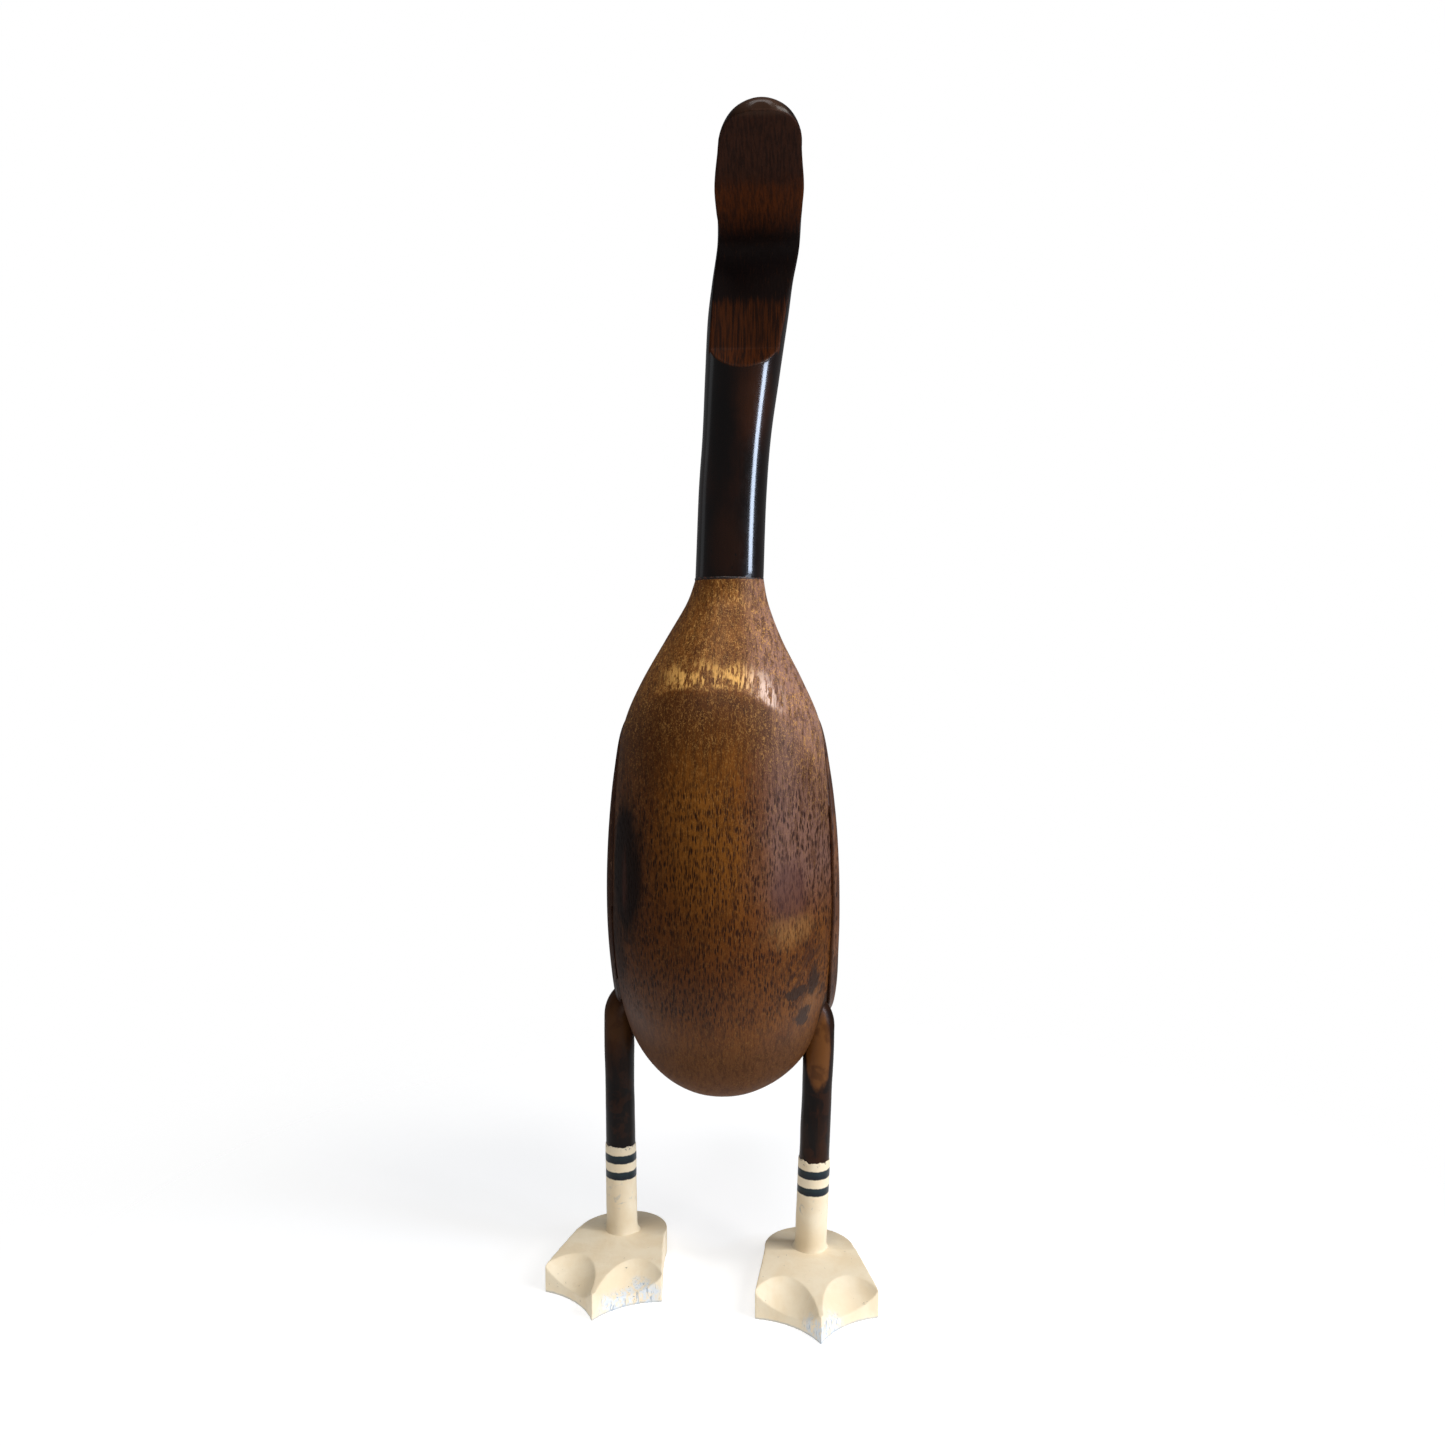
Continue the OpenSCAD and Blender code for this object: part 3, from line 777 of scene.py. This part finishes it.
    ginger = f.spot((41, -23, 137), (7, 9, 9), 0.45, 0.7, 6)
    colour = f.blend(ginger * 0.65, colour, (0.22, 0.085, 0.024))
    scorch = f.spot((34.5, -35, 146), (6.0, 8, 3.6), 0.12, 2.4, 5)
    scorch = scorch.larger(f.spot((37, -27, 133), (4.6, 8, 6.5), 0.12, 2.4, 5))
    scorch = scorch.larger(f.spot((41, -24, 148), (2.6, 9, 8), 0.2, 2.0, 4))
    scorch = scorch.larger(f.spot((47, -14, 140), (3.4, 9, 5), 0.2, 1.2, 4))
    colour = f.blend(scorch * 0.92, colour, (0.030, 0.012, 0.006))
    # painted shade: dark patches round where each leg goes into the body
    hip_socket_shade = f.spot((40, 8, 128), (12.5, 10.5, 12), 0.1, 0.35, 4)
    hip_socket_shade = hip_socket_shade.larger(f.spot((-48, 20, 128), (12.5, 10.5, 12), 0.1, 0.35, 4))
    colour = f.blend(hip_socket_shade * 0.85, colour, (0.016, 0.007, 0.004))

    f.link("Coat Weight", 0.12 * (1 - belly) * (1 - 0.9 * burn))
    rough = 0.42 + 0.10 * cloud + 0.16 * belly + 0.12 * pores
    height = 0.05 * fleck + 0.05 * streak - 0.14 * pores + 0.03 * fine
    return f.done(colour, rough, height)


# The right wing's tones are darker than the left's: painted shade on the side away from the key light.
WING_TONES_LIT_AND_SHADED = {
    1: ((0.060, 0.023, 0.012), (0.165, 0.066, 0.028)),
    -1: ((0.012, 0.004, 0.002), (0.048, 0.016, 0.006)),
}


def wing_finish(side):
    name = "left" if side > 0 else "right"
    f = Finish(name + "_waxed_wing", **{
        "Coat Weight": 0.10, "Coat Roughness": 0.3, "Specular IOR Level": 0.2,
    })
    tone = f.noise(26, (1, 1.6, 2.6), 4, 0.55, 0.5, (2, 1, 8))
    streak = f.noise(1.5, (1, 5, 9), 4, 0.65, 0.3)
    fine = f.noise(0.6, (1, 3, 6), 3, 0.6, 0.6)
    colour = f.blend(tone.rise(0.36, 0.64), *WING_TONES_LIT_AND_SHADED[side])
    colour = f.blend(streak.rise(0.44, 0.66) * 0.65, colour, (0.028, 0.010, 0.006))
    colour = f.blend(fine.rise(0.56, 0.72) * 0.35, colour, (0.30, 0.16, 0.09))
    pores = f.dashes(1.4, 4.0, 0.30, (1, 2, 3))
    colour = f.blend(pores * 0.75, colour, (0.016, 0.006, 0.004))
    rough = 0.46 + 0.12 * tone
    return f.done(colour, rough, 0.05 * streak + 0.03 * fine - 0.08 * pores)


def culm_finish():
    f = Finish("stained_culm", **{"Coat Roughness": 0.13, "Specular IOR Level": 0.12})
    y = f.y - HOME.y
    z = f.z
    off_under = (z - CHIN_Z - (THROAT_Y - y) * math.tan(UNDER_SLOPE)).size()
    under = off_under.rise(0.9, 0.35) * y.rise(THROAT_Y - 6, THROAT_Y - 9)
    off_throat = (y - THROAT_Y).size()
    throat = off_throat.rise(0.9, 0.35) * z.rise(THROAT_Z + LEDGE_H - 6, THROAT_Z + LEDGE_H - 4)
    throat = throat * z.rise(CHIN_Z + 3, CHIN_Z - 4)
    ay = y - (THROAT_Y - CHIN_R)
    az = z - ARC_Z
    bow = ((ay * ay + az * az) ** 0.5 - CHIN_R).size().rise(0.9, 0.35)
    bow = bow * ay.rise(-2, 1) * az.rise(-1, 2)
    fall = (HEAD_R + 3 + THROAT_Y) / LEDGE_H
    off_ledge = (y - THROAT_Y - (z - THROAT_Z - LEDGE_H + 3) * fall).size()
    ledge = off_ledge.rise(0.9, 0.4) * z.rise(THROAT_Z + LEDGE_H - 1, THROAT_Z + LEDGE_H - 4)
    ledge = ledge * z.rise(THROAT_Z - 4, THROAT_Z) * y.rise(-5, -7)
    cut = under.larger(throat).larger(bow).larger(ledge)

    fibre = f.noise(0.85, (1, 12, 20), 4, 0.62, 0.15)
    fine = f.noise(0.42, (1, 9, 12), 3, 0.6, 0.1, (8, 3, 1))
    tone = f.noise(22, (1, 1, 2.4), 4, 0.55, 0.5, (6, 6, 1))
    mottle = f.noise(3.2, (1, 1.5, 2.2), 4, 0.65, 0.8)

    colour = f.blend(tone.rise(0.42, 0.68), (0.0036, 0.0010, 0.0005), (0.014, 0.0034, 0.0010))
    colour = f.blend(fibre.rise(0.45, 0.75) * 0.5, colour, (0.0030, 0.0010, 0.0007))
    russet = f.spot((15, -14, 396), (8, 8, 15), 0.6, 0.9, 6) * 0.7
    russet = russet.larger(f.spot((2, -15, 335), (8, 6, 14), 0.5, 0.9, 7) * 0.35)
    russet = russet.larger(f.spot((14, 14, 430), (14, 10, 34), 0.5, 0.9, 12) * 0.8)
    russet = russet.larger(f.spot((18, -40, 500), (16, 22, 12), 0.5, 0.9, 12) * 0.7)
    colour = f.blend(russet * 0.7, colour, (0.052, 0.014, 0.0034))
    speck = f.cells(4.5, (1, 1, 1.5)).rise(0.13, 0.06) * mottle.rise(0.48, 0.56)
    colour = f.blend(speck * 0.85, colour, (0.002, 0.001, 0.001))

    wavy = (f.noise(6, (1, 1, 1.5), 3, 0.55, 0, (4, 4, 4)) - 0.5) * 10
    ragged = (f.noise(0.8, (1, 16, 16), 3, 0.6, 0, (1, 4, 4)) - 0.5) * 24
    light_end = cut * (z + wavy * 0.4 + ragged * 0.5).rise(CHIN_Z - 19, CHIN_Z - 24)
    near = y + wavy + ragged
    mid_band = cut * near.rise(-16, -44) * near.rise(-68, -50)
    plum_end = cut * near.rise(-50, -68)
    thread = fibre.rise(0.62, 0.40)
    streaky = 0.40 + 0.60 * thread
    # The cut is painted dark, then lighter in the bands below; the dark left by the chin is painted
    # shadow under the bill.
    colour = f.blend(cut * 0.8, colour, (0.0065, 0.0017, 0.0008))
    colour = f.blend(light_end * (0.15 + 0.85 * thread) * 0.95, colour, (0.066, 0.0145, 0.0012))
    colour = f.blend(mid_band * streaky * 0.85, colour, (0.112, 0.023, 0.0012))
    colour = f.blend(plum_end * streaky * 0.8, colour, (0.062, 0.0185, 0.0075))
    # painted highlight: a paler grey-brown rim round the bill's tip, where the edge catches light
    tip = y.rise(-BILL_REACH + 4, -BILL_REACH + 0.5)
    colour = f.blend(tip * 0.35, colour, (0.10, 0.052, 0.030))
    grain = fine.rise(0.56, 0.72) * cut
    colour = f.blend(grain * 0.22, colour, (0.100, 0.026, 0.004))

    f.link("Coat Weight", (0.12 + 0.66 * z.rise(452, 425)) * (1 - cut))
    rough = 0.24 + 0.34 * cut + 0.10 * mottle.rise(0.4, 0.7)
    height = 0.02 * fine + 0.03 * fibre + 0.04 * cut * fibre + 0.012 * mottle
    return f.done(colour, rough, height)


def leg_finish(side):
    name = "left" if side > 0 else "right"
    f = Finish(name + "_stained_stick", **{
        "Coat Weight": 0.10, "Coat Roughness": 0.22, "Specular IOR Level": 0.08,
    })
    spot_x = side * LEG_X - LEG_SHIFT + side * 2
    spot_y = LEG_BACK - side * STRIDE / 2
    tone = f.noise(14, (1, 1, 2.5), 4, 0.55, 0.4, (side, 5, 5))
    streak = f.noise(0.9, (1, 1, 12), 4, 0.6, 0.2)
    colour = f.blend(tone.rise(0.42, 0.66), (0.0050, 0.0020, 0.0014), (0.026, 0.0078, 0.0020))
    colour = f.blend(streak.rise(0.45, 0.72) * 0.5, colour, (0.0030, 0.0012, 0.0009))
    if side > 0:
        bare = f.spot((spot_x + 1.2, spot_y - 6, 110), (5.6, 6, 19.5), 0.14, 0.5, 5)
        rim = f.spot((spot_x + 1.2, spot_y - 6, 110), (6.8, 7, 22), 0.2, 0.5, 5)
        colour = f.blend(rim * 0.8, colour, (0.012, 0.0045, 0.0028))
        colour = f.blend(bare * 0.95, colour, (0.150, 0.054, 0.013))
        mauve = f.spot((spot_x - 2, spot_y - 4, 127), (6, 7, 7), 0.4, 0.8, 5)
        colour = f.blend(mauve * 0.6, colour, (0.045, 0.022, 0.018))
    else:
        bare = f.spot((spot_x + 1, spot_y - 4, 116), (7, 7, 13), 0.5, 0.9, 5)
        colour = f.blend(bare * 0.7, colour, (0.085, 0.033, 0.010))
    bands = f.noise(9, (1, 1, 1), 3, 0.6, 0.3, (side, 2, 9)).rise(0.50, 0.62)
    colour = f.blend(bands * 0.5, colour, (0.036, 0.0095, 0.0016))
    rough = 0.34 + 0.14 * tone
    return f.done(colour, rough, 0.04 * streak + 0.02 * f.noise(2.4))


CREAM = (0.83, 0.685, 0.47)
PALE_CREAM = (0.88, 0.76, 0.56)
NAVY = (0.0020, 0.0080, 0.0140)
BANDS = ((52.2, 48.4), (44.2, 40.6))


def paint_coat(f):
    """Cream paint with brush marks, a few nicks and dulled patches."""
    tone = f.noise(16, (1, 1, 1), 4, 0.6, 0.4)
    brush = f.noise(0.9, (1, 7, 5), 3, 0.6, 0.2)
    grime = f.noise(5, (1, 1, 1), 5, 0.65, 0.6, (3, 8, 2))
    colour = f.blend(tone.rise(0.35, 0.65), CREAM, PALE_CREAM)
    colour = f.blend(grime.rise(0.58, 0.80) * 0.25, colour, (0.62, 0.50, 0.33))
    nick = f.noise(1.6, (1, 1, 1), 2, 0.5, 1.5, (7, 3, 5)).rise(0.75, 0.78)
    colour = f.blend(nick * 0.6, colour, (0.22, 0.16, 0.11))
    return colour, brush, nick, grime


def sock_finish(side):
    name = "left" if side > 0 else "right"
    f = Finish(name + "_banded_paint", **{"Specular IOR Level": 0.25})
    colour, brush, nick, grime = paint_coat(f)
    waver = (f.noise(3.5, (1, 1, 1), 3, 0.6, 0, (side, 0, 0)) - 0.5) * 1.1
    height = f.z + waver
    band = None
    for top, bottom in BANDS:
        stripe = height.rise(top + 0.25, top - 0.25) * height.rise(bottom - 0.25, bottom + 0.25)
        band = stripe if band is None else band.larger(stripe)
    fade = f.noise(1.6, (1, 1, 1), 3, 0.6, 0, (2, 2, 9)).rise(0.5, 0.75)
    navy = f.blend(fade * 0.35, NAVY, (0.012, 0.030, 0.042))
    smudge = grime.rise(0.55, 0.68) * f.z.rise(24, 30) * f.z.rise(41, 36)
    colour = f.blend(smudge * 0.5, colour, (0.34, 0.38, 0.42))
    colour = f.blend(band, colour, navy)
    # painted highlight: the upper part of each navy band is a lighter teal, as if lit from above
    painted_band_highlight = band * height.rise(49.2, 51.6).larger(height.rise(41.4, 43.6) * height.rise(46, 45))
    colour = f.blend(painted_band_highlight * 0.5, colour, (0.010, 0.030, 0.036))
    chip = f.noise(1.3, (1, 1, 1), 3, 0.6, 0.5, (1, side, 3)).rise(0.58, 0.64) * f.z.rise(53.8, 55.4)
    colour = f.blend(chip * 0.8, colour, (0.16, 0.13, 0.12))
    rough = 0.46 + 0.10 * brush - 0.12 * band
    return f.done(colour, rough, 0.04 * brush + 0.08 * band - 0.10 * nick)


# Where the paint of each foot is worn, and its deeper nicks, from the ankle in millimetres.
WORN = {
    1: (((8, -51, 3.5), (12, 8, 6.5)), ((1, -54, 5), (3.5, 5, 9))),
    -1: (((10, -45, 2.5), (17, 9, 4.5)), ((2, -53, 5), (5, 6, 9)), ((16, -36, 5), (8, 7, 5))),
}
NICKS = {
    1: ((26.5, -37, 9, 0.9), (5, 9, 14, 0.7)),
    -1: ((-12, -44, 2.5, 1.0), (27, -34, 7.5, 1.6), (26, -30, 9.5, 1.0)),
}


def foot_finish(side):
    name = "left" if side > 0 else "right"
    f = Finish(name + "_foot_paint", **{"Specular IOR Level": 0.3})
    colour, brush, nick, grime = paint_coat(f)
    spot = ankle(side)
    worn = None
    for centre, radii in WORN[side]:
        patch = f.spot(spot + Vector(centre), radii, 0.35, 0.9, 5)
        worn = patch if worn is None else worn.larger(patch)
    worn = worn * f.z.rise(10, 8)
    scrape = f.noise(0.9, (1, 1, 5), 4, 0.65, 0.4, (1, 1, side))
    chalk = f.noise(2.6, (1, 1, 1.5), 5, 0.7, 0.5, (1, 1, side)).rise(0.40, 0.54)
    colour = f.blend(worn * chalk * 0.85, colour, (0.66, 0.72, 0.78))
    blue = worn * scrape.rise(0.56, 0.64)
    colour = f.blend(blue * 0.75, colour, (0.20, 0.27, 0.35))
    sole = (f.z + (f.noise(3, (1, 1, 1), 3) - 0.5) * 1.2).rise(1.3, 0.4)
    colour = f.blend(sole * 0.6, colour, (0.36, 0.41, 0.46))
    dents = nick
    for x, y, z, size in NICKS[side]:
        dents = dents.larger(f.spot(spot + Vector((x, y, z)), (size, size, size), 0.3, 1.6, 1.2))
    colour = f.blend(dents * 0.85, colour, (0.055, 0.045, 0.045))
    gouge = f.noise(1.0, (7, 1, 3), 3, 0.6, 0.3, (1, 2, 3))
    lump = f.noise(3.5, (1, 1, 1), 3, 0.55, 0.3, (6, 2, 3))
    rough = 0.50 + 0.14 * grime
    height = 0.05 * brush + 0.07 * gouge + 0.16 * lump - 0.14 * dents
    return f.done(colour, rough, height)


def glue_finish():
    f = Finish("dark_glue", **{"Coat Weight": 0.3, "Coat Roughness": 0.2})
    bits = f.noise(1.1, (1, 1, 1), 4, 0.7, 0.5)
    colour = f.blend(bits.rise(0.52, 0.66), (0.010, 0.004, 0.003), (0.16, 0.048, 0.020))
    return f.done(colour, 0.35 + 0.2 * bits, 0.12 * bits)


def dowel_finish():
    f = Finish("plain_dowel_wood")
    grain = f.noise(0.9, (1, 1, 14), 4, 0.6, 0.3)
    tone = f.noise(9, (1, 1, 3), 3)
    colour = f.blend(grain.rise(0.35, 0.7), (0.62, 0.43, 0.24), (0.42, 0.26, 0.12))
    return f.done(colour, 0.6 + 0.15 * tone, 0.04 * grain)


def screw_finish():
    f = Finish("zinc_plate", **{"Metallic": 1.0})
    dull = f.noise(1.6, (1, 1, 1), 4, 0.6, 0.4)
    colour = f.blend(dull.rise(0.35, 0.7), (0.62, 0.63, 0.65), (0.42, 0.43, 0.45))
    return f.done(colour, 0.28 + 0.25 * dull, 0.01 * dull)


def floor_finish():
    """Pale paper that thins out to nothing away from the bird."""
    f = Finish("pale_floor", **{
        "Specular IOR Level": 0.1, "Emission Color": (1, 1, 1), "Emission Strength": 0.62,
    })
    tone = f.noise(60, (1, 1, 1), 4)
    colour = f.blend(tone, (0.58, 0.58, 0.58), (0.61, 0.61, 0.61))
    away = (f.x * f.x + f.y * f.y) ** 0.5
    f.link("Alpha", away.rise(FLOOR_EDGE, FLOOR_FULL))
    return f.done(colour, 0.7 + 0.1 * tone)


def dress(piece, material):
    piece.data.materials.clear()
    piece.data.materials.append(material)


def dress_node(name, material):
    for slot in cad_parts[name].material_slots:
        slot.material = material


# ---------------------------------------------------------------- light and camera

def softbox(name, place, aim, size, power, colour=(1, 1, 1)):
    light = bpy.data.lights.new(name, "AREA")
    light.shape = "RECTANGLE"
    light.size, light.size_y = size
    light.energy = power
    light.color = colour
    lamp = bpy.data.objects.new(name, light)
    bpy.context.scene.collection.objects.link(lamp)
    lamp.location = place
    lamp.rotation_euler = (Vector(aim) - Vector(place)).to_track_quat("-Z", "Y").to_euler()


def light_studio():
    world = bpy.data.worlds.new("pale_room")
    world.use_nodes = True
    tree = world.node_tree
    tree.nodes.clear()
    seen = tree.nodes.new("ShaderNodeBackground")
    seen.inputs["Color"].default_value = (1, 1, 1, 1)
    seen.inputs["Strength"].default_value = 1.0
    room = tree.nodes.new("ShaderNodeBackground")
    room.inputs["Color"].default_value = (0.93, 0.96, 1.0, 1)
    room.inputs["Strength"].default_value = 0.13
    path = tree.nodes.new("ShaderNodeLightPath")
    either = tree.nodes.new("ShaderNodeMixShader")
    output = tree.nodes.new("ShaderNodeOutputWorld")
    tree.links.new(path.outputs["Is Camera Ray"], either.inputs[0])
    tree.links.new(room.outputs[0], either.inputs[1])
    tree.links.new(seen.outputs[0], either.inputs[2])
    tree.links.new(either.outputs[0], output.inputs["Surface"])
    bpy.context.scene.world = world
    bpy.context.scene.view_settings.view_transform = "Standard"
    middle = (0.0, 0.0, 0.26)
    softbox("key_window", (0.98, -0.50, 1.10), middle, (0.7, 0.7), 12.5, (1.0, 0.97, 0.93))
    softbox("overhead", (0.0, -0.62, 1.45), middle, (0.9, 0.6), 9.5)
    softbox("side_window", (0.95, -0.28, 0.41), (0, 0, 0.35), (0.24, 0.16), 3.4, (0.68, 0.80, 1.0))
    softbox("low_window", (0.92, -0.35, 0.14), (0, 0, 0.20), (0.35, 0.26), 1.8, (0.72, 0.82, 1.0))
    softbox("left_panel", (-0.95, 0.30, 0.40), middle, (0.30, 0.9), 0.20, (0.9, 0.95, 1.0))


FLOOR_FULL = 150
FLOOR_EDGE = 420


def lay_floor():
    bm = bmesh.new()
    bmesh.ops.create_grid(bm, x_segments=2, y_segments=2, size=3)
    mesh = bpy.data.meshes.new("floor")
    bm.to_mesh(mesh)
    bm.free()
    floor = bpy.data.objects.new("floor", mesh)
    bpy.context.scene.collection.objects.link(floor)
    dress(floor, floor_finish())


def set_camera():
    swing = math.radians(3)
    dip = math.radians(4)
    distance = 533
    data = bpy.data.cameras.new("camera")
    data.sensor_width = 36
    data.lens = 36 * 1200 / 1445
    data.clip_start = 0.02
    camera = bpy.data.objects.new("camera", data)
    bpy.context.scene.collection.objects.link(camera)
    spot = HOME + Vector((distance * math.sin(swing), -distance * math.cos(swing), 295))
    camera.location = spot * MM
    camera.rotation_euler = (math.pi / 2 - dip, 0, swing)
    bpy.context.scene.camera = camera


# ---------------------------------------------------------------- putting it together

set_camera()
dress(carve_body(), body_finish())
for hand in (1, -1):
    dress(carve_wing(hand), wing_finish(hand))
    dress(carve_leg(hand), leg_finish(hand))
    dress(paint_sock(hand), sock_finish(hand))
    dress(carve_foot(hand), foot_finish(hand))
dress(carve_neck_and_head(), culm_finish())
dress(glue_bead(), glue_finish())
dowel_wood = dowel_finish()
for node in ("wing_pegs", "neck_dowel", "left_hip_dowel", "right_hip_dowel"):
    dress_node(node, dowel_wood)
dress_node("foot_screws", screw_finish())
lay_floor()
light_studio()
